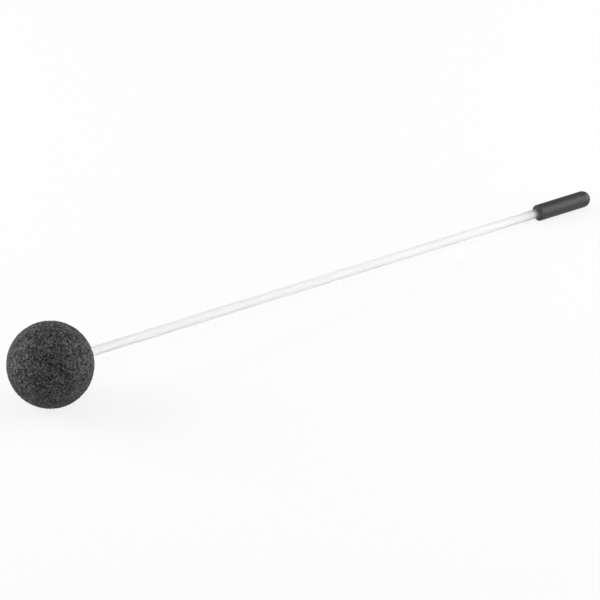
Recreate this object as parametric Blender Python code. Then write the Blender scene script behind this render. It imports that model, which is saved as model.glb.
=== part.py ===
"""Gong mallet: a rubber ball bonded on a slim plastic rod, with a rubber cap as its grip.

Units are metres. Every piece is turned about the mallet's own +Z, which runs from the
centre of the ball to the tip of the grip. The whole mallet is then laid on the floor the
way it rests, on the ball and on the round end of the grip, with the grip towards +X.
"""

import math

import bmesh
import bpy
from mathutils import Vector, noise

# Driving dimensions, over everything
OVERALL_LENGTH = 0.380
HEAD_DIAMETER = 0.046
ROD_DIAMETER = 0.005
GRIP_DIAMETER = 0.009
GRIP_LENGTH = 0.036

# Ball: how far the rod's socket reaches in, and the countersink at its mouth
SOCKET_DEPTH = 0.028
SOCKET_COUNTERSINK = 0.0006

# Ball: the crinkled skin of small flakes with creases between them, from peak to crease,
# how far its peaks stand proud of the ball's nominal size, and the width of one flake
CRINKLE_DEPTH = 0.0006
CRINKLE_PROUD = 0.0002
CRINKLE_PITCH = 0.0026

# Ball: how much the flakes bend, in flake widths, their share of the skin's height, and
# the seed of their places
CRINKLE_BEND = 0.5
FLAKE_SHARE = 0.65
CRINKLE_SEED = 11

# Ball: the plain land round the socket's mouth, and the width over which the crinkle fades in
MOUTH_LAND = 0.0012
MOUTH_LAND_FADE = 0.0025

# Glue between the rod and the socket
GLUE_FILM = 0.0004
GLUE_FILLET_HEIGHT = 0.0012
GLUE_FILLET_LIP = 0.0001

# Rod
ROD_CHAMFER = 0.0004

# Grip cap
GRIP_BORE_DEPTH = 0.030
GRIP_MOUTH_CHAMFER = 0.0003
GRIP_RIM_ROUNDING = 0.0006

# Clearance kept between two pieces that seat on each other
SEAT_GAP = 0.0002

# Fineness of the surfaces
BALL_SUBDIVISIONS = 4
BALL_SKIN_CUTS = 2
TURNED_SEGMENTS = 40
FILLET_STEPS = 6
DOME_STEPS = 12
SHARP_ANGLE = math.radians(35.0)
WELD_DISTANCE = 1e-7

# Places along the mallet's axis and fits that follow from the sizes above
HEAD_RADIUS = HEAD_DIAMETER / 2
ROD_RADIUS = ROD_DIAMETER / 2
GRIP_RADIUS = GRIP_DIAMETER / 2
GLUE_BORE_RADIUS = ROD_RADIUS + SEAT_GAP
GLUE_RADIUS = GLUE_BORE_RADIUS + GLUE_FILM
SOCKET_RADIUS = GLUE_RADIUS + SEAT_GAP
SOCKET_MOUTH_RADIUS = SOCKET_RADIUS + SOCKET_COUNTERSINK
SOCKET_MOUTH_Z = math.sqrt(HEAD_RADIUS ** 2 - SOCKET_MOUTH_RADIUS ** 2)
SOCKET_FLOOR_Z = HEAD_RADIUS - SOCKET_DEPTH
GLUE_FLOOR_Z = SOCKET_FLOOR_Z + SEAT_GAP
ROD_START_Z = GLUE_FLOOR_Z + GLUE_FILM + SEAT_GAP
GRIP_BORE_RADIUS = ROD_RADIUS + SEAT_GAP
GRIP_TIP_Z = OVERALL_LENGTH - HEAD_RADIUS
GRIP_MOUTH_Z = GRIP_TIP_Z - GRIP_LENGTH
ROD_END_Z = GRIP_MOUTH_Z + GRIP_BORE_DEPTH - SEAT_GAP
REST_SLOPE = math.asin((HEAD_RADIUS - GRIP_RADIUS) / (GRIP_TIP_Z - GRIP_RADIUS))


def clear_scene():
    """Remove the objects that a new file starts with."""
    for leftover in list(bpy.data.objects):
        bpy.data.objects.remove(leftover, do_unlink=True)


def make_material(name, colour, roughness):
    """Return a Principled material that isn't metal."""
    material = bpy.data.materials.new(name)
    material.use_nodes = True
    shader = material.node_tree.nodes["Principled BSDF"]
    shader.inputs["Base Color"].default_value = (*colour, 1.0)
    shader.inputs["Roughness"].default_value = roughness
    shader.inputs["Metallic"].default_value = 0.0
    return material


def crinkled_rubber():
    """Dark grey, dull rubber of the ball."""
    return make_material("crinkled_rubber", (0.055, 0.055, 0.057), 0.85)


def cured_glue():
    """Clear, slightly amber cured glue."""
    return make_material("cured_glue", (0.62, 0.55, 0.38), 0.3)


def frosted_plastic():
    """White, translucent plastic of the rod."""
    return make_material("frosted_plastic", (0.82, 0.83, 0.83), 0.35)


def moulded_rubber():
    """Black rubber of the grip, smoother than the ball's."""
    return make_material("moulded_rubber", (0.03, 0.03, 0.032), 0.45)


def arc(centre_r, centre_z, radius, start, end, steps):
    """Return the points of an arc in the profile plane, as (r, z) pairs, ends included."""
    points = []
    for step in range(steps + 1):
        angle = start + (end - start) * step / steps
        points.append((centre_r + radius * math.cos(angle), centre_z + radius * math.sin(angle)))
    return points


def turned_mesh(name, profile):
    """Turn a profile of (r, z) points, whose ends lie on the axis, into a closed body."""
    shape = bmesh.new()
    verts = [shape.verts.new((r, 0.0, z)) for r, z in profile]
    edges = [shape.edges.new(pair) for pair in zip(verts, verts[1:])]
    bmesh.ops.spin(shape, geom=verts + edges, cent=(0, 0, 0), axis=(0, 0, 1),
                   angle=math.tau, steps=TURNED_SEGMENTS, use_merge=True)
    bmesh.ops.remove_doubles(shape, verts=shape.verts, dist=WELD_DISTANCE)
    bmesh.ops.recalc_face_normals(shape, faces=shape.faces)
    mesh = bpy.data.meshes.new(name)
    shape.to_mesh(mesh)
    shape.free()
    return mesh


def place(name, mesh, material, z, parent):
    """Add a smooth shaded piece to the scene, at a height on the mallet's own axis."""
    mesh.materials.append(material)
    mesh.shade_smooth()
    mesh.set_sharp_from_angle(angle=SHARP_ANGLE)
    piece = bpy.data.objects.new(name, mesh)
    piece.parent = parent
    piece.location = (0.0, 0.0, z)
    bpy.context.collection.objects.link(piece)
    return piece


def cut(piece, cutter):
    """Subtract a cutter from a piece, and keep the cutter only as a guide."""
    cutter.hide_render = True
    cutter.display_type = "WIRE"
    modifier = piece.modifiers.new("cut_" + cutter.name, "BOOLEAN")
    modifier.operation = "DIFFERENCE"
    modifier.solver = "EXACT"
    modifier.object = cutter


def crinkle(direction):
    """Return the depth of the skin below its peaks at a point of the ball, from 0 to 1."""
    point = direction * (HEAD_RADIUS / CRINKLE_PITCH)
    bent = point + CRINKLE_BEND * noise.noise_vector(point)
    flakes = min(1.0, 1.0 + noise.noise(bent, noise_basis="VORONOI_F2F1"))
    swell = 0.5 + 0.5 * noise.noise(point)
    return 1.0 - FLAKE_SHARE * flakes - (1.0 - FLAKE_SHARE) * swell


def land_share(direction):
    """Return 0 on the plain land round the socket's mouth, rising to 1 on the crinkled skin."""
    distance = HEAD_RADIUS * direction.angle(Vector((0.0, 0.0, 1.0)))
    share = (distance - SOCKET_MOUTH_RADIUS - MOUTH_LAND) / MOUTH_LAND_FADE
    share = min(1.0, max(0.0, share))
    return share * share * (3.0 - 2.0 * share)


def ball_mesh():
    """Return the crinkled ball, before its socket is cut."""
    shape = bmesh.new()
    bmesh.ops.create_icosphere(shape, subdivisions=BALL_SUBDIVISIONS, radius=HEAD_RADIUS)
    bmesh.ops.subdivide_edges(shape, edges=shape.edges, cuts=BALL_SKIN_CUTS, use_grid_fill=True)
    noise.seed_set(CRINKLE_SEED)
    for vert in shape.verts:
        direction = vert.co.normalized()
        height = CRINKLE_PROUD - CRINKLE_DEPTH * crinkle(direction)
        vert.co = direction * (HEAD_RADIUS + height * land_share(direction))
    mesh = bpy.data.meshes.new("ball_head")
    shape.to_mesh(mesh)
    shape.free()
    return mesh


def socket_cutter(parent):
    """Return the tool that cuts the blind socket and its countersink into the ball."""
    overrun = SOCKET_MOUTH_RADIUS
    profile = [
        (0.0, SOCKET_FLOOR_Z),
        (SOCKET_RADIUS, SOCKET_FLOOR_Z),
        (SOCKET_RADIUS, SOCKET_MOUTH_Z - SOCKET_COUNTERSINK),
        (SOCKET_MOUTH_RADIUS + overrun, SOCKET_MOUTH_Z + overrun),
        (0.0, SOCKET_MOUTH_Z + overrun),
    ]
    mesh = turned_mesh("socket_cutter", profile)
    cutter = bpy.data.objects.new("socket_cutter", mesh)
    cutter.parent = parent
    bpy.context.collection.objects.link(cutter)
    return cutter


def ball_head(parent):
    """Solid rubber ball with the socket for the rod."""
    ball = place("ball_head", ball_mesh(), crinkled_rubber(), 0.0, parent)
    cut(ball, socket_cutter(parent))
    return ball


def head_adhesive(parent):
    """Cup of cured glue round the rod's end, drawn up the rod in a fillet at the mouth."""
    collar_radius = GLUE_RADIUS + SOCKET_COUNTERSINK
    collar_z = SOCKET_MOUTH_Z - GLUE_FLOOR_Z
    top_z = collar_z + GLUE_FILLET_HEIGHT
    lip_radius = GLUE_BORE_RADIUS + GLUE_FILLET_LIP
    fillet = []
    for step in range(FILLET_STEPS + 1):
        angle = step / FILLET_STEPS * math.pi / 2
        fillet.append((collar_radius - (collar_radius - lip_radius) * math.sin(angle),
                       top_z - GLUE_FILLET_HEIGHT * math.cos(angle)))
    profile = [
        (0.0, 0.0),
        (GLUE_RADIUS, 0.0),
        (GLUE_RADIUS, collar_z - SOCKET_COUNTERSINK),
        *fillet,
        (GLUE_BORE_RADIUS, top_z),
        (GLUE_BORE_RADIUS, GLUE_FILM),
        (0.0, GLUE_FILM),
    ]
    mesh = turned_mesh("head_adhesive", profile)
    return place("head_adhesive", mesh, cured_glue(), GLUE_FLOOR_Z, parent)


def shaft_rod(parent):
    """Straight rod, chamfered at both ends, from the glue in the ball to the grip's bore."""
    length = ROD_END_Z - ROD_START_Z
    profile = [
        (0.0, 0.0),
        (ROD_RADIUS - ROD_CHAMFER, 0.0),
        (ROD_RADIUS, ROD_CHAMFER),
        (ROD_RADIUS, length - ROD_CHAMFER),
        (ROD_RADIUS - ROD_CHAMFER, length),
        (0.0, length),
    ]
    mesh = turned_mesh("shaft_rod", profile)
    return place("shaft_rod", mesh, frosted_plastic(), ROD_START_Z, parent)


def grip_cap(parent):
    """Rubber cap with a blind bore, a flat rim with a rounded edge, and a domed end."""
    profile = [
        (0.0, GRIP_BORE_DEPTH),
        (GRIP_BORE_RADIUS, GRIP_BORE_DEPTH),
        (GRIP_BORE_RADIUS, GRIP_MOUTH_CHAMFER),
        (GRIP_BORE_RADIUS + GRIP_MOUTH_CHAMFER, 0.0),
        *arc(GRIP_RADIUS - GRIP_RIM_ROUNDING, GRIP_RIM_ROUNDING, GRIP_RIM_ROUNDING,
             -math.pi / 2, 0.0, FILLET_STEPS),
        *arc(0.0, GRIP_LENGTH - GRIP_RADIUS, GRIP_RADIUS, 0.0, math.pi / 2, DOME_STEPS),
    ]
    mesh = turned_mesh("grip_cap", profile)
    return place("grip_cap", mesh, moulded_rubber(), GRIP_MOUTH_Z, parent)


def lay_on_floor(mallet, pieces):
    """Lay the mallet down as it rests, with the origin below the middle of its box."""
    mallet.rotation_euler = (0.0, math.pi / 2 + REST_SLOPE, 0.0)
    bpy.context.view_layer.update()
    depsgraph = bpy.context.evaluated_depsgraph_get()
    points = []
    for piece in pieces:
        evaluated = piece.evaluated_get(depsgraph)
        points.extend(piece.matrix_world @ vert.co for vert in evaluated.data.vertices)
    low = [min(point[axis] for point in points) for axis in range(3)]
    high = [max(point[axis] for point in points) for axis in range(3)]
    mallet.location = (-(low[0] + high[0]) / 2, -(low[1] + high[1]) / 2, -low[2])


def main():
    """Build the mallet."""
    clear_scene()
    mallet = bpy.data.objects.new("gong_mallet", None)
    bpy.context.collection.objects.link(mallet)
    pieces = [
        ball_head(mallet),
        head_adhesive(mallet),
        shaft_rod(mallet),
        grip_cap(mallet),
    ]
    lay_on_floor(mallet, pieces)


main()
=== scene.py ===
"""Gong mallet as it looks: a crinkled rubber ball on a frosted rod, with a black rubber grip.

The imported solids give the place, and the pieces here stand for them with the fine surface of
the real ones. All lengths are in metres. Each piece is made along its own +Z, which runs from
the centre of the ball to the tip of the grip, and is then laid where the solids lie.
"""

import logging
import math
from dataclasses import dataclass, field
from enum import Enum
from typing import Any

import bmesh
import bpy
from mathutils import Matrix, Vector, noise


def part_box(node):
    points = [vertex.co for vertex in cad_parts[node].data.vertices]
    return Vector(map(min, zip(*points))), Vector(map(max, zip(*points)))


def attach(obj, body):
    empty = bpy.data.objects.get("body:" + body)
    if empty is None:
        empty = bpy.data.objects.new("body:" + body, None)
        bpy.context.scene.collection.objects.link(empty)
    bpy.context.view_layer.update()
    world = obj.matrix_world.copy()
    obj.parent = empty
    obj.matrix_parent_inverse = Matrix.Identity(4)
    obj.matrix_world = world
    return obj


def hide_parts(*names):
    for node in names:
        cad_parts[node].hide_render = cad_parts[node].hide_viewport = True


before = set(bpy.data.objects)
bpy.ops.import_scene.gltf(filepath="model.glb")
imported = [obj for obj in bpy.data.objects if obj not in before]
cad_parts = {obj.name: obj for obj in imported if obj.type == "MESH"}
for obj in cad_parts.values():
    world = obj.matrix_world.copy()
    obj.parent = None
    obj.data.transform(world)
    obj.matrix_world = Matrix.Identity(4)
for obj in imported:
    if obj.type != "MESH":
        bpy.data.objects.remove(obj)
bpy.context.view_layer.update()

BODY = "root"
CREASE = "crease"
WELD_DISTANCE = 1e-7
SHARP_ANGLE = math.radians(35.0)

# Places of the colour sockets on a Mix node
MIX_FIRST = 6
MIX_SECOND = 7
MIX_RESULT = 2

log = logging.getLogger("gong_mallet")

Colour = tuple[float, float, float]
Profile = list[tuple[float, float]]


class MalletSlot(Enum):
    """Material slots of the record that the pieces take their finish from."""

    BALL = "ball_rubber"
    GLUE = "cured_glue"
    ROD = "rod_plastic"
    GRIP = "grip_rubber"


class Value:
    """A number that varies over a surface, with operators that add Math nodes."""

    def __init__(self, bench: "FinishBench", socket: bpy.types.NodeSocket) -> None:
        """Keep the socket and the bench that holds its material."""
        self.bench = bench
        self.socket = socket

    def _math(self, operation: str, first: Any, second: Any) -> "Value":
        """Return the result of one Math node.

        Args:
            operation: Name of the operation, as the Math node has it.
            first: First operand, a number or a Value.
            second: Second operand, a number or a Value.

        Returns:
            The node's result.
        """
        made = self.bench.node("ShaderNodeMath", {"operation": operation}, {0: first, 1: second})
        return Value(self.bench, made.outputs[0])

    def __add__(self, other: Any) -> "Value":
        """Return self + other."""
        return self._math("ADD", self, other)

    def __radd__(self, other: Any) -> "Value":
        """Return other + self."""
        return self._math("ADD", other, self)

    def __sub__(self, other: Any) -> "Value":
        """Return self - other."""
        return self._math("SUBTRACT", self, other)

    def __rsub__(self, other: Any) -> "Value":
        """Return other - self."""
        return self._math("SUBTRACT", other, self)

    def __mul__(self, other: Any) -> "Value":
        """Return self * other."""
        return self._math("MULTIPLY", self, other)

    def __rmul__(self, other: Any) -> "Value":
        """Return other * self."""
        return self._math("MULTIPLY", other, self)

    def held(self) -> "Value":
        """Return self held from 0 to 1."""
        return Value(self.bench, self.bench.node("ShaderNodeClamp", None, {0: self}).outputs[0])


class FinishBench:
    """Builds one Principled material from nodes."""

    def __init__(self, name: str) -> None:
        """Start a material that holds a Principled shader alone."""
        self.material = bpy.data.materials.new(name)
        self.material.use_nodes = True
        self.shader = self.material.node_tree.nodes["Principled BSDF"]

    def node(self, kind: str, settings: dict[str, Any] | None = None,
             sockets: dict[int | str, Any] | None = None) -> bpy.types.Node:
        """Add a node, set it and feed its sockets.

        Args:
            kind: The node's type.
            settings: Its own settings, set first.
            sockets: Number, Value or output socket for each input, by its name or place.

        Returns:
            The new node.
        """
        made = self.material.node_tree.nodes.new(kind)
        for setting, wanted in (settings or {}).items():
            setattr(made, setting, wanted)
        self.feed(made, sockets or {})
        return made

    def feed(self, target: bpy.types.Node, sockets: dict[int | str, Any]) -> None:
        """Give inputs of a node their values or links.

        Args:
            target: The node that is fed.
            sockets: Number, Value or output socket for each input, by its name or place.
        """
        for key, given in sockets.items():
            source = given.socket if isinstance(given, Value) else given
            if isinstance(source, bpy.types.NodeSocket):
                self.material.node_tree.links.new(source, target.inputs[key])
            else:
                target.inputs[key].default_value = source

    def place(self, turn: Matrix | None = None, stretch: Colour = (1.0, 1.0, 1.0)) -> Any:
        """Return the point of the surface, in the frame or along the mallet.

        Args:
            turn: Matrix that lays the mallet down, whose turn is undone where it is given.
            stretch: Scale of the pattern along each direction.

        Returns:
            The socket that holds the point.
        """
        point = self.node("ShaderNodeTexCoord").outputs["Object"]
        if turn is None:
            return point
        undo = turn.inverted()
        mapped = self.node("ShaderNodeMapping", {"vector_type": "POINT"}, {
            "Vector": point,
            "Location": undo.to_translation(),
            "Rotation": undo.to_euler(),
        })
        return self.node("ShaderNodeVectorMath", {"operation": "MULTIPLY"},
                         {0: mapped.outputs[0], 1: stretch}).outputs[0]

    def cloud(self, point: Any, size: float, detail: float = 2.0, roughness: float = 0.5) -> Value:
        """Return soft noise from 0 to 1.

        Args:
            point: Socket that holds the point of the surface.
            size: Width of one patch.
            detail: Number of finer layers.
            roughness: Strength of the finer layers.

        Returns:
            The noise.
        """
        made = self.node("ShaderNodeTexNoise", None, {
            "Vector": point, "Scale": 1.0 / size, "Detail": detail, "Roughness": roughness,
        })
        return Value(self, made.outputs["Fac"])

    def blend(self, share: Value, first: Any, second: Any) -> bpy.types.NodeSocket:
        """Return a colour between two colours.

        Args:
            share: Share of the second colour, from 0 to 1.
            first: Colour, or the socket of one, where the share is 0.
            second: Colour, or the socket of one, where the share is 1.

        Returns:
            The socket of the blended colour.
        """
        opaque = [(*c, 1.0) if isinstance(c, tuple) else c for c in (first, second)]
        made = self.node("ShaderNodeMix", {"data_type": "RGBA"},
                         {"Factor": share, MIX_FIRST: opaque[0], MIX_SECOND: opaque[1]})
        return made.outputs[MIX_RESULT]

    def relief(self, height: Value, depth: float, strength: float = 1.0) -> bpy.types.NodeSocket:
        """Return the normal of a finely uneven surface.

        Args:
            height: Height of the surface, from 0 to 1.
            depth: Real height that 1 stands for.
            strength: Share of the relief that shows.

        Returns:
            The socket of the normal.
        """
        made = self.node("ShaderNodeBump", None,
                         {"Height": height, "Distance": depth, "Strength": strength})
        return made.outputs["Normal"]


@dataclass(frozen=True)
class CrinkledRubber:
    """Dull dark grey rubber, with painted shade in its creases and a painted highlight in random
    patches on its ridge tops.
    """

    base: Colour = (0.0409, 0.0409, 0.0422)
    # The crease colour is painted shade, laid into the deepest creases of the ball.
    crease: Colour = (0.00625, 0.00625, 0.00656)
    # The next colour is a painted highlight that makes the ridge tops paler.
    painted_ridge_highlight: Colour = (0.178, 0.176, 0.173)
    top_start: float = 0.42
    top_gain: float = 2.4
    pit_start: float = 0.58
    pit_gain: float = 2.4
    patch: float = 0.007
    patch_share: float = 0.7
    grain: float = 0.0005
    grain_share: float = 0.6
    grain_depth: float = 0.00005
    grain_strength: float = 0.6
    roughness: float = 0.66
    grain_roughness: float = 0.16
    crease_roughness: float = 0.10
    specular: float = 0.35

    def make(self) -> bpy.types.Material:
        """Return the material.

        Returns:
            Material of the ball.
        """
        bench = FinishBench("crinkled_rubber")
        point = bench.place()
        patches = bench.cloud(point, self.patch, detail=3.0)
        grain = bench.cloud(point, self.grain, roughness=0.6)
        attribute = bench.node("ShaderNodeAttribute", {"attribute_name": CREASE})
        crease = Value(bench, attribute.outputs["Fac"])
        # Painted highlight: the ridge tops are made paler, in random patches.
        highlight_patches = patches * self.patch_share + grain * self.grain_share
        painted_highlight_mask = ((self.top_start - crease) * self.top_gain).held() * highlight_patches
        # Painted shade: the deepest creases are darkened towards the crease colour.
        painted_crease_shade = ((crease - self.pit_start) * self.pit_gain).held()
        skin = bench.blend(painted_highlight_mask.held(), self.base, self.painted_ridge_highlight)
        rough = self.roughness + self.grain_roughness * grain + self.crease_roughness * crease
        bench.feed(bench.shader, {
            "Base Color": bench.blend(painted_crease_shade, skin, self.crease),
            "Roughness": rough,
            "Specular IOR Level": self.specular,
            "Normal": bench.relief(grain, self.grain_depth, self.grain_strength),
        })
        return bench.material


@dataclass(frozen=True)
class CapRubber:
    """Black moulded rubber with a satin face, faintly scuffed."""

    base: Colour = (0.0080, 0.0080, 0.0085)
    scuffed: Colour = (0.0450, 0.0450, 0.0460)
    scuff_gain: float = 1.2
    patch: float = 0.0016
    grain: float = 0.0004
    grain_depth: float = 0.00004
    patch_relief: float = 0.5
    relief_strength: float = 0.7
    roughness: float = 0.46
    patch_roughness: float = 0.14
    grain_roughness: float = 0.06
    specular: float = 0.504

    def make(self) -> bpy.types.Material:
        """Return the material.

        Returns:
            Material of the grip.
        """
        bench = FinishBench("cap_rubber")
        point = bench.place()
        patches = bench.cloud(point, self.patch, detail=4.0, roughness=0.6)
        grain = bench.cloud(point, self.grain)
        scuffs = (patches * patches * self.scuff_gain).held()
        height = grain + patches * self.patch_relief
        rough = self.roughness + self.patch_roughness * patches + self.grain_roughness * grain
        bench.feed(bench.shader, {
            "Base Color": bench.blend(scuffs, self.base, self.scuffed),
            "Roughness": rough,
            "Specular IOR Level": self.specular,
            "Normal": bench.relief(height, self.grain_depth, self.relief_strength),
        })
        return bench.material


@dataclass(frozen=True)
class FrostedPlastic:
    """White translucent plastic rod, with faint draw marks along its length."""

    lay: Matrix
    base: Colour = (0.949, 0.95, 0.95)
    haze: Colour = (0.882, 0.884, 0.886)
    patch: float = 0.012
    patch_share: float = 0.6
    mark_width: float = 0.0005
    mark_stretch: float = 0.04
    mark_share: float = 0.4
    mark_depth: float = 0.00002
    mark_strength: float = 0.5
    roughness: float = 0.45
    patch_roughness: float = 0.12
    mark_roughness: float = 0.05
    transmission: float = 0.902
    index: float = 1.49

    def make(self) -> bpy.types.Material:
        """Return the material.

        Returns:
            Material of the rod.
        """
        bench = FinishBench("frosted_plastic")
        drawn = bench.place(self.lay, (1.0, 1.0, self.mark_stretch))
        marks = bench.cloud(drawn, self.mark_width)
        patches = bench.cloud(bench.place(), self.patch, detail=3.0)
        cloudy = (patches * self.patch_share + marks * self.mark_share).held()
        rough = self.roughness + self.patch_roughness * patches + self.mark_roughness * marks
        bench.feed(bench.shader, {
            "Base Color": bench.blend(cloudy, self.base, self.haze),
            "Roughness": rough,
            "Normal": bench.relief(marks, self.mark_depth, self.mark_strength),
            "Transmission Weight": self.transmission,
            "IOR": self.index,
        })
        return bench.material


@dataclass(frozen=True)
class CuredGlue:
    """Clear, slightly amber glue that has set with a glossy face."""

    base: Colour = (0.52, 0.45, 0.30)
    dusty: Colour = (0.34, 0.31, 0.24)
    patch: float = 0.0015
    patch_depth: float = 0.00008
    patch_strength: float = 0.4
    roughness: float = 0.22
    patch_roughness: float = 0.2
    transmission: float = 0.5
    index: float = 1.5

    def make(self) -> bpy.types.Material:
        """Return the material.

        Returns:
            Material of the glue.
        """
        bench = FinishBench("set_glue")
        patches = bench.cloud(bench.place(), self.patch, detail=3.0)
        bench.feed(bench.shader, {
            "Base Color": bench.blend(patches, self.base, self.dusty),
            "Roughness": self.roughness + self.patch_roughness * patches,
            "Normal": bench.relief(patches, self.patch_depth, self.patch_strength),
            "Transmission Weight": self.transmission,
            "IOR": self.index,
        })
        return bench.material


@dataclass(frozen=True)
class MalletSizes:
    """Real sizes that the pieces share, and where they stand along the mallet."""

    length: float = 0.380
    ball_radius: float = 0.023
    rod_radius: float = 0.0025
    grip_radius: float = 0.0045
    grip_length: float = 0.036
    socket_radius: float = 0.0033
    socket_countersink: float = 0.0006
    socket_depth: float = 0.028
    grip_bore_depth: float = 0.030
    seat: float = 0.00002

    @property
    def tip(self) -> float:
        """Height of the grip's tip above the centre of the ball."""
        return self.length - self.ball_radius

    @property
    def grip_mouth(self) -> float:
        """Height of the grip's rim above the centre of the ball."""
        return self.tip - self.grip_length

    @property
    def socket_mouth_radius(self) -> float:
        """Radius of the socket's countersunk mouth."""
        return self.socket_radius + self.socket_countersink

    @property
    def socket_mouth(self) -> float:
        """Height of the socket's mouth above the centre of the ball."""
        return math.sqrt(self.ball_radius ** 2 - self.socket_mouth_radius ** 2)

    @property
    def socket_floor(self) -> float:
        """Height of the socket's floor, which lies past the centre of the ball."""
        return self.ball_radius - self.socket_depth

    def lay(self) -> Matrix:
        """Return the matrix that lays the upright mallet where its solids lie.

        The round end of the grip is a sphere, so the grip's box gives that sphere's centre,
        and the slope follows from the two radii that rest on the floor.

        Returns:
            The matrix from the mallet's own directions to the frame.
        """
        reach = self.tip - self.grip_radius
        slope = math.asin((self.ball_radius - self.grip_radius) / reach)
        low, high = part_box("grip_cap")
        dome = Vector((high.x - self.grip_radius, (low.y + high.y) / 2, low.z + self.grip_radius))
        turn = Matrix.Rotation(math.pi / 2 + slope, 4, "Y")
        along = turn.to_3x3() @ Vector((0.0, 0.0, 1.0))
        return Matrix.Translation(dome - reach * along) @ turn


def finish_piece(name: str, shape: bmesh.types.BMesh, lay: Matrix, material: bpy.types.Material,
                 node: str, sharp: float = SHARP_ANGLE) -> bpy.types.Object:
    """Turn a bmesh into a piece that lies in the frame and stands for a solid.

    Args:
        name: Name of the piece.
        shape: Its shape along the mallet's own +Z, freed here.
        lay: Matrix that lays it in the frame.
        material: Its finish.
        node: Solid that it stands for.
        sharp: Least angle of an edge that stays sharp.

    Returns:
        The piece.
    """
    bmesh.ops.recalc_face_normals(shape, faces=shape.faces)
    bmesh.ops.transform(shape, matrix=lay, verts=shape.verts)
    mesh = bpy.data.meshes.new(name)
    shape.to_mesh(mesh)
    shape.free()
    mesh.materials.append(material)
    mesh.shade_smooth()
    mesh.set_sharp_from_angle(angle=sharp)
    piece = bpy.data.objects.new(name, mesh)
    bpy.context.scene.collection.objects.link(piece)
    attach(piece, BODY)
    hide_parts(node)
    log.info("%s: %d faces, stands for %s", name, len(mesh.polygons), node)
    return piece


def turn_profile(profile: Profile, segments: int) -> bmesh.types.BMesh:
    """Turn a profile about +Z into a closed body.

    Args:
        profile: Points (radius, height), from the axis and back to it.
        segments: Number of steps round the axis.

    Returns:
        The turned shape.
    """
    shape = bmesh.new()
    verts = [shape.verts.new((radius, 0.0, height)) for radius, height in profile]
    edges = [shape.edges.new(pair) for pair in zip(verts, verts[1:])]
    bmesh.ops.spin(shape, geom=verts + edges, cent=(0, 0, 0), axis=(0, 0, 1),
                   angle=math.tau, steps=segments, use_merge=True)
    bmesh.ops.remove_doubles(shape, verts=shape.verts, dist=WELD_DISTANCE)
    return shape


def arc(centre: tuple[float, float], radius: float, start: float, end: float,
        steps: int) -> Profile:
    """Return the points of an arc of a profile, ends included.

    Args:
        centre: Radius and height of the arc's centre.
        radius: Radius of the arc.
        start: Angle of its first point.
        end: Angle of its last point.
        steps: Number of its chords.

    Returns:
        The points.
    """
    angles = [start + (end - start) * step / steps for step in range(steps + 1)]
    return [(centre[0] + radius * math.cos(a), centre[1] + radius * math.sin(a)) for a in angles]


def smooth_step(share: float) -> float:
    """Return a share that eases in and out, held from 0 to 1."""
    held = min(1.0, max(0.0, share))
    return held * held * (3.0 - 2.0 * held)


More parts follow.
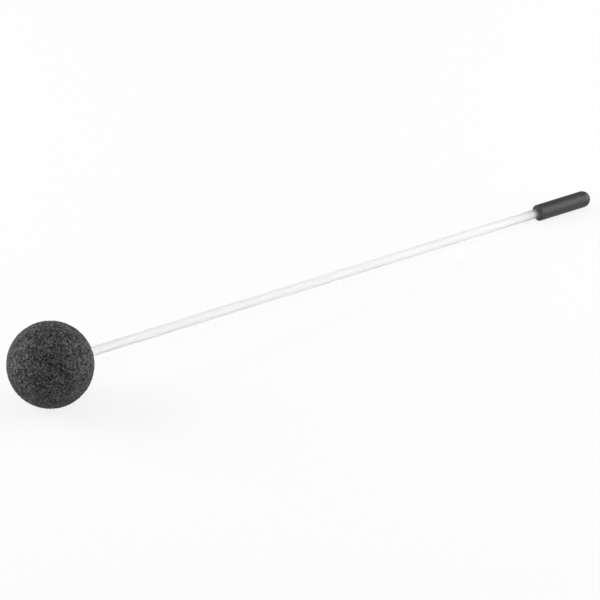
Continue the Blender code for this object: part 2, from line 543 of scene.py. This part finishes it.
@dataclass
class BallHead:
    """Solid rubber ball: a crumpled skin of short ridges and small flakes, and the socket."""

    sizes: MalletSizes
    finish: CrinkledRubber = field(default_factory=CrinkledRubber)
    subdivisions: int = 6
    skin_cuts: int = 2
    seed: int = 11
    proud: float = 0.0002
    relief: float = 0.00075
    ridge_pitch: float = 0.0015
    ridge_bend: float = 0.8
    ridge_falloff: float = 0.8
    ridge_step: float = 2.1
    ridge_layers: int = 2
    ridge_offset: float = 1.0
    ridge_gain: float = 2.0
    flake_pitch: float = 0.0017
    flake_bend: float = 1.2
    flake_share: float = 0.233
    spread: tuple[float, float] = (0.01, 0.99)
    land: float = 0.0012
    land_fade: float = 0.0025
    land_tone: float = 0.5
    sharp: float = math.radians(50.0)

    def ridge(self, point: Vector) -> float:
        """Return the height of the short, bent ridges.

        Args:
            point: Point of the smooth ball.

        Returns:
            The height, not yet stretched.
        """
        scaled = point / self.ridge_pitch
        bent = scaled + self.ridge_bend * noise.noise_vector(scaled)
        return noise.ridged_multi_fractal(bent, self.ridge_falloff, self.ridge_step,
                                          self.ridge_layers, self.ridge_offset, self.ridge_gain)

    def flake(self, point: Vector) -> float:
        """Return the height of the small flakes between the ridges.

        Args:
            point: Point of the smooth ball.

        Returns:
            The height, not yet stretched.
        """
        scaled = point / self.flake_pitch
        bent = scaled + self.flake_bend * noise.noise_vector(scaled)
        return noise.noise(bent, noise_basis="VORONOI_F2F1")

    def stretched(self, heights: list[float]) -> list[float]:
        """Stretch heights so that all but the last few fill the range from 0 to 1.

        Args:
            heights: Heights in any range.

        Returns:
            Heights from 0 to 1.
        """
        ordered = sorted(heights)
        low, high = (ordered[int(share * (len(ordered) - 1))] for share in self.spread)
        return [min(1.0, max(0.0, (height - low) / (high - low))) for height in heights]

    @staticmethod
    def ranked(heights: list[float]) -> list[float]:
        """Return the rank of each height, from 0 for the lowest to 1 for the highest.

        Args:
            heights: Heights in any range.

        Returns:
            The ranks.
        """
        ranks = [0.0] * len(heights)
        for place, index in enumerate(sorted(range(len(heights)), key=heights.__getitem__)):
            ranks[index] = place / (len(heights) - 1)
        return ranks

    def crinkle(self, shape: bmesh.types.BMesh) -> None:
        """Press the crinkle into the ball, and note on each point how deep it lies.

        Args:
            shape: The smooth ball.
        """
        noise.seed_set(self.seed)
        crease = shape.verts.layers.float.new(CREASE)
        points = [vert.co.normalized() * self.sizes.ball_radius for vert in shape.verts]
        ridges = self.stretched([self.ridge(point) for point in points])
        flakes = self.stretched([self.flake(point) for point in points])
        heights = [ridge + (flake - ridge) * self.flake_share
                   for ridge, flake in zip(ridges, flakes)]
        ranks = self.ranked(heights)
        bare = self.sizes.socket_mouth_radius + self.land
        for vert, point, height, rank in zip(shape.verts, points, heights, ranks):
            lift = self.proud - self.relief * (1.0 - height)
            edge = math.hypot(point.x, point.y) - bare
            share = smooth_step(edge / self.land_fade) if point.z > 0.0 else 1.0
            vert.co = point + point.normalized() * share * lift
            # How deep each point lies also sets the painted shade in the creases and the painted
            # highlight on the ridge tops, in the ball's material.
            vert[crease] = self.land_tone + (1.0 - rank - self.land_tone) * share

    def bore(self, shape: bmesh.types.BMesh) -> None:
        """Open the skin round the rod and draw the socket in from the mouth.

        Args:
            shape: The crinkled ball.
        """
        mouth = self.sizes.socket_mouth_radius
        inside = [face for face in shape.faces
                  if all(v.co.z > 0.0 and math.hypot(v.co.x, v.co.y) < mouth for v in face.verts)]
        bmesh.ops.delete(shape, geom=inside, context="FACES")
        rim = [edge for edge in shape.edges if edge.is_boundary]
        self.ring(rim, mouth, self.sizes.socket_mouth)
        steps = [
            (self.sizes.socket_radius, self.sizes.socket_mouth - self.sizes.socket_countersink),
            (self.sizes.socket_radius, self.sizes.socket_floor),
        ]
        for radius, height in steps:
            drawn = bmesh.ops.extrude_edge_only(shape, edges=rim)
            rim = [part for part in drawn["geom"]
                   if isinstance(part, bmesh.types.BMEdge) and part.is_boundary]
            self.ring(rim, radius, height)
        bmesh.ops.edgeloop_fill(shape, edges=rim)

    @staticmethod
    def ring(edges: list[bmesh.types.BMEdge], radius: float, height: float) -> None:
        """Set a loop of edges on a true circle about the axis.

        Args:
            edges: Edges of the loop.
            radius: Radius of the circle.
            height: Height of the circle.
        """
        for vert in {vert for edge in edges for vert in edge.verts}:
            scale = radius / math.hypot(vert.co.x, vert.co.y)
            vert.co = Vector((vert.co.x * scale, vert.co.y * scale, height))

    def make(self, lay: Matrix) -> bpy.types.Object:
        """Return the ball.

        Args:
            lay: Matrix that lays the mallet in the frame.

        Returns:
            The piece.
        """
        shape = bmesh.new()
        bmesh.ops.create_icosphere(shape, subdivisions=self.subdivisions,
                                   radius=self.sizes.ball_radius)
        bmesh.ops.subdivide_edges(shape, edges=shape.edges, cuts=self.skin_cuts,
                                  use_grid_fill=True)
        self.crinkle(shape)
        self.bore(shape)
        return finish_piece("crinkled_ball", shape, lay, self.finish.make(),
                            "ball_head", sharp=self.sharp)


@dataclass
class HeadGlue:
    """Glue of the head: fills the socket round the rod and climbs the rod in a fillet."""

    sizes: MalletSizes
    finish: CuredGlue = field(default_factory=CuredGlue)
    film: float = 0.0004
    fillet_height: float = 0.0014
    fillet_spread: float = 0.0004
    lip: float = 0.00008
    foot_gap: float = 0.00003
    still_rise: float = 0.08
    unevenness: float = 0.00018
    lump: float = 0.0018
    segments: int = 96
    fillet_steps: int = 10

    def make(self, lay: Matrix) -> bpy.types.Object:
        """Return the glue.

        Args:
            lay: Matrix that lays the mallet in the frame.

        Returns:
            The piece.
        """
        bore = self.sizes.rod_radius + self.sizes.seat
        outer = self.sizes.socket_radius - self.sizes.seat
        floor = self.sizes.socket_floor + self.sizes.seat
        mouth = self.sizes.socket_mouth
        collar = self.sizes.socket_mouth_radius + self.fillet_spread
        foot = math.sqrt(self.sizes.ball_radius ** 2 - collar ** 2) + self.foot_gap
        top = mouth + self.fillet_height
        reach = collar - bore - self.lip
        turns = [step / self.fillet_steps * math.pi / 2 for step in range(self.fillet_steps + 1)]
        fillet = [(collar - reach * math.sin(a), top - (top - foot) * math.cos(a)) for a in turns]
        under = [(outer, floor), (outer, mouth - self.sizes.socket_countersink),
                 (self.sizes.socket_mouth_radius - self.sizes.seat, mouth - self.sizes.seat),
                 (self.sizes.socket_mouth_radius, mouth + self.foot_gap)]
        shape = turn_profile([(0.0, floor), *under, *fillet, (bore, top),
                              (bore, floor + self.film), (0.0, floor + self.film)], self.segments)
        for vert in shape.verts:
            radius = math.hypot(vert.co.x, vert.co.y)
            rise = (vert.co.z - mouth) / self.fillet_height
            if rise > self.still_rise and radius > bore + self.lip / 2:
                lumps = self.unevenness * noise.noise(vert.co / self.lump)
                vert.co.xy *= 1.0 + lumps * (1.0 - rise) / radius
                vert.co.z += lumps * rise
        return finish_piece("glue_fillet", shape, lay, self.finish.make(),
                            "head_adhesive")


@dataclass
class ShaftRod:
    """Straight frosted rod, chamfered at both ends."""

    sizes: MalletSizes
    glue_film: float = 0.0004
    chamfer: float = 0.0004
    segments: int = 96
    lengths: int = 24

    def make(self, lay: Matrix) -> bpy.types.Object:
        """Return the rod.

        Args:
            lay: Matrix that lays the mallet in the frame.

        Returns:
            The piece.
        """
        radius = self.sizes.rod_radius
        start = self.sizes.socket_floor + self.glue_film + 2 * self.sizes.seat
        end = self.sizes.grip_mouth + self.sizes.grip_bore_depth - self.sizes.seat
        low, high = start + self.chamfer, end - self.chamfer
        side = [(radius, low + (high - low) * step / self.lengths)
                for step in range(self.lengths + 1)]
        profile = [(0.0, start), (radius - self.chamfer, start), *side,
                   (radius - self.chamfer, end), (0.0, end)]
        shape = turn_profile(profile, self.segments)
        return finish_piece("frosted_rod", shape, lay, FrostedPlastic(lay).make(),
                            "shaft_rod")


@dataclass
class GripCap:
    """Push-on rubber cap with a flat rim, a domed end and the fine line of its mould."""

    sizes: MalletSizes
    finish: CapRubber = field(default_factory=CapRubber)
    mouth_chamfer: float = 0.00025
    rim_rounding: float = 0.0006
    mould_line: float = 0.00004
    mould_angle: float = math.radians(-35.0)
    segments: int = 128
    lengths: int = 20
    chamfer_steps: int = 4
    rim_steps: int = 8
    dome_steps: int = 24

    def make(self, lay: Matrix) -> bpy.types.Object:
        """Return the grip.

        Args:
            lay: Matrix that lays the mallet in the frame.

        Returns:
            The piece.
        """
        radius, mouth = self.sizes.grip_radius, self.sizes.grip_mouth
        bore = self.sizes.rod_radius + self.sizes.seat
        dome = self.sizes.tip - radius
        body = mouth + self.rim_rounding
        side = [(radius, body + (dome - body) * step / self.lengths)
                for step in range(1, self.lengths)]
        profile = [
            (0.0, mouth + self.sizes.grip_bore_depth),
            (bore, mouth + self.sizes.grip_bore_depth),
            (bore, mouth + self.mouth_chamfer),
            *arc((bore + self.mouth_chamfer, mouth + self.mouth_chamfer), self.mouth_chamfer,
                 math.pi, 1.5 * math.pi, self.chamfer_steps)[1:],
            *arc((radius - self.rim_rounding, body), self.rim_rounding, -math.pi / 2, 0.0,
                 self.rim_steps),
            *side,
            *arc((0.0, dome), radius, 0.0, math.pi / 2, self.dome_steps),
        ]
        shape = turn_profile(profile, self.segments)
        self.raise_mould_line(shape)
        return finish_piece("rubber_grip", shape, lay, self.finish.make(),
                            "grip_cap")

    def raise_mould_line(self, shape: bmesh.types.BMesh) -> None:
        """Raise the fine line that the two halves of the mould leave along the cap.

        Args:
            shape: The turned cap.
        """
        step = math.tau / self.segments
        axis_point = self.sizes.tip - self.sizes.grip_radius
        for vert in shape.verts:
            radius = math.hypot(vert.co.x, vert.co.y)
            outside = radius > self.sizes.grip_radius - self.rim_rounding or vert.co.z > axis_point
            turned = (math.atan2(vert.co.y, vert.co.x) - self.mould_angle) % math.pi
            if outside and min(turned, math.pi - turned) < step / 2 and radius > WELD_DISTANCE:
                core = Vector((0.0, 0.0, min(vert.co.z, axis_point)))
                vert.co += (vert.co - core).normalized() * self.mould_line


@dataclass
class Studio:
    """Pale floor, a soft light on each side of the mallet, and the camera."""

    azimuth: float = -35.67
    elevation: float = 30.86
    distance: float = 3.0
    aim: Vector = field(default_factory=lambda: Vector((-0.00650, 0.00044, 0.00625)))
    lens: float = 335.7
    sensor: float = 36.0
    clip: tuple[float, float] = (0.05, 60.0)
    floor_half: float = 15.0
    floor_colour: Colour = (0.86, 0.86, 0.86)
    floor_roughness: float = 0.9
    floor_white: float = 0.82
    world_strength: float = 0.455
    light_turn: float = 99.6
    light_elevation: float = 20.0
    light_distance: float = 1.3
    light_size: float = 1.0
    light_power: tuple[float, float] = (17.0, 18.5)

    @staticmethod
    def direction(azimuth: float, elevation: float) -> Vector:
        """Return the direction from the object towards a place round it.

        Args:
            azimuth: Degrees round the object, 0 on the side of -Y and 90 on that of +X.
            elevation: Degrees above the horizon.

        Returns:
            The unit direction.
        """
        turn, rise = math.radians(azimuth), math.radians(elevation)
        return Vector((math.sin(turn) * math.cos(rise), -math.cos(turn) * math.cos(rise),
                       math.sin(rise)))

    def link(self, name: str, data: bpy.types.ID, azimuth: float, elevation: float,
             distance: float) -> bpy.types.Object:
        """Put a camera or light on its place, turned to the mallet.

        Args:
            name: Name of the object.
            data: Its camera or light.
            azimuth: Degrees round the mallet.
            elevation: Degrees above the horizon.
            distance: Distance from the point that it aims at.

        Returns:
            The object.
        """
        back = self.direction(azimuth, elevation)
        made = bpy.data.objects.new(name, data)
        made.location = self.aim + back * distance
        made.rotation_euler = back.to_track_quat("Z", "Y").to_euler()
        bpy.context.scene.collection.objects.link(made)
        return made

    def make_camera(self) -> None:
        """Set the camera at the photograph's view."""
        data = bpy.data.cameras.new("camera")
        data.lens = self.lens
        data.sensor_width = self.sensor
        data.clip_start, data.clip_end = self.clip
        bpy.context.scene.camera = self.link("camera", data, self.azimuth, self.elevation,
                                             self.distance)

    def make_lights(self) -> None:
        """Set a soft light on the left and on the right of the mallet, as the camera sees it."""
        for side, power in zip((-1, 1), self.light_power):
            data = bpy.data.lights.new("soft_light", "AREA")
            data.shape = "SQUARE"
            data.size = self.light_size
            data.energy = power
            self.link("soft_light", data, self.azimuth + side * self.light_turn,
                      self.light_elevation, self.light_distance)

    def make_world(self) -> None:
        """Set an even, pale surround."""
        world = bpy.data.worlds.new("surround")
        world.use_nodes = True
        world.node_tree.nodes["Background"].inputs["Color"].default_value = (1.0, 1.0, 1.0, 1.0)
        world.node_tree.nodes["Background"].inputs["Strength"].default_value = self.world_strength
        bpy.context.scene.world = world

    def make_floor(self) -> None:
        """Lay a pale floor that keeps the mallet's shadow."""
        shape = bmesh.new()
        bmesh.ops.create_grid(shape, x_segments=1, y_segments=1, size=self.floor_half)
        mesh = bpy.data.meshes.new("floor")
        shape.to_mesh(mesh)
        shape.free()
        mesh.materials.append(self.floor_material())
        floor = bpy.data.objects.new("floor", mesh)
        bpy.context.scene.collection.objects.link(floor)

    def floor_material(self) -> bpy.types.Material:
        """Return the floor's paper, lifted towards white where it is seen.

        Returns:
            Material of the floor.
        """
        bench = FinishBench("pale_paper")
        bench.feed(bench.shader, {"Base Color": (*self.floor_colour, 1.0),
                                  "Roughness": self.floor_roughness,
                                  "Specular IOR Level": 0.0})
        path = bench.node("ShaderNodeLightPath")
        rays = [Value(bench, path.outputs[name])
                for name in ("Is Camera Ray", "Is Glossy Ray", "Is Transmission Ray")]
        seen = (rays[0] + rays[1] + rays[2]).held()
        white = bench.node("ShaderNodeEmission", None, {"Strength": 1.0})
        mix = bench.node("ShaderNodeMixShader", None, {
            0: seen * self.floor_white, 1: bench.shader.outputs[0], 2: white.outputs[0],
        })
        output = bench.material.node_tree.nodes["Material Output"]
        bench.feed(output, {"Surface": mix.outputs[0]})
        return bench.material

    def make(self) -> None:
        """Set up the whole studio."""
        bpy.context.scene.view_settings.view_transform = "Standard"
        for step in (self.make_camera, self.make_lights, self.make_world, self.make_floor):
            step()


def main() -> None:
    """Build the studio and the mallet, and log the faces of each piece."""
    logging.basicConfig(level=logging.INFO, format="%(name)s %(message)s")
    Studio().make()
    sizes = MalletSizes()
    lay = sizes.lay()
    for part in (BallHead(sizes), HeadGlue(sizes), ShaftRod(sizes), GripCap(sizes)):
        part.make(lay)


if __name__ == "__main__":
    main()
